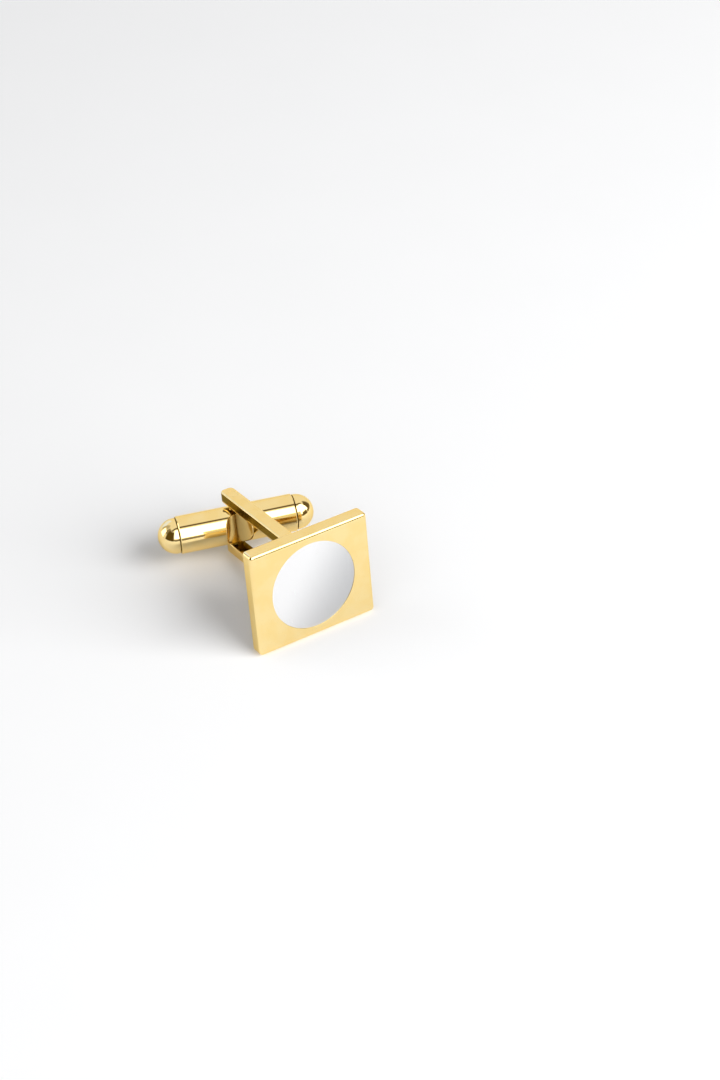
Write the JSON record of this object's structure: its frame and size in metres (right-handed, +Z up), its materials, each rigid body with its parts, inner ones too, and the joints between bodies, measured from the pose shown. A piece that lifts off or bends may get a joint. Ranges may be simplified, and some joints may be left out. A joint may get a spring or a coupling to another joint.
{
  "type": "cufflink",
  "caption": "Rectangular gold cufflink with a round white metal inlay, a two-armed post and a swivelling bullet toggle that fastens a shirt cuff.",
  "frame": {"origin": "On the surface that the cufflink rests on, below the middle of its box.", "axes": "+X across the plate, +Y from the plate's face towards the toggle, +Z up. The plate leans back on its lower back edge and the lower arm's tip."},
  "size_m": [0.02, 0.025, 0.0146],
  "materials": {
    "plate_gold": "polished pale yellow gold plate",
    "post_gold": "polished pale yellow gold plate",
    "toggle_gold": "mirror-polished pale yellow gold plate",
    "white_metal": "polished white metal",
    "spring_strip": "rolled spring strip"
  },
  "bodies": {
    "post": {"face_plate": "plate_gold", "inlay_disc": "white_metal", "post_bracket": "post_gold", "pivot_pin": "post_gold"},
    "toggle": {"toggle_barrel": "toggle_gold", "toggle_cap_left": "toggle_gold", "toggle_cap_right": "toggle_gold", "detent_spring": "spring_strip"}
  },
  "joints": [
    {"name": "toggle_swing", "type": "hinge", "parent": "post", "child": "toggle", "pos_m": [0, 0.00768, 0.00469], "axis": [0, 0.1429, 0.9897], "range_deg": [-72, 108]}
  ]
}
